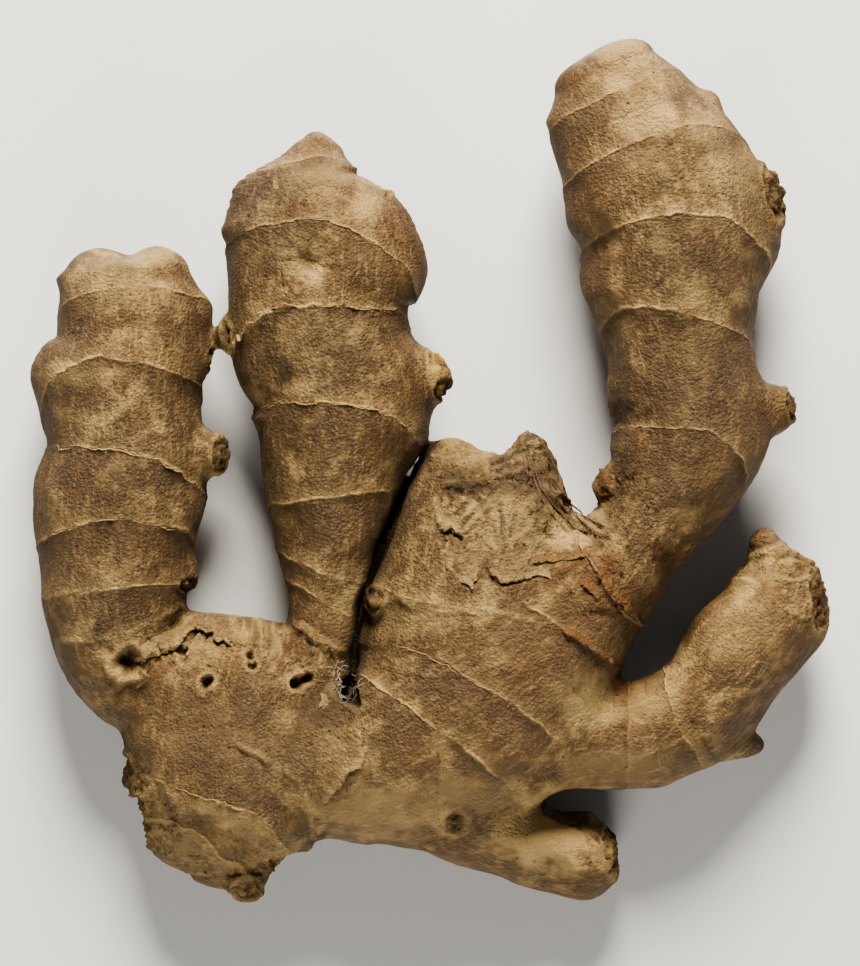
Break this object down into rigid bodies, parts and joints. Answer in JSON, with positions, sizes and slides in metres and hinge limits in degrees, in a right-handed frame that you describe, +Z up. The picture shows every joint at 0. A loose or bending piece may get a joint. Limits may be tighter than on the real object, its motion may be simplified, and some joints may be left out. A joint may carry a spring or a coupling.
{
  "type": "ginger root",
  "caption": "Fresh ginger rhizome lying flat: blunt branching fingers with raised leaf rings, buds, root scars and a broken-off old stem.",
  "frame": {"origin": "on the surface that the root lies on, under the middle of its outline", "axes": "+Z up from the surface, +Y along the fingers towards their tips, +X towards the short finger"},
  "size_m": [0.1283, 0.1387, 0.0287],
  "materials": {
    "ginger_skin": "thin dry tan-brown skin, matt with a faint sheen on the worn crests"
  },
  "bodies": {
    "root": {"ginger_root": "ginger_skin"}
  },
  "joints": []
}
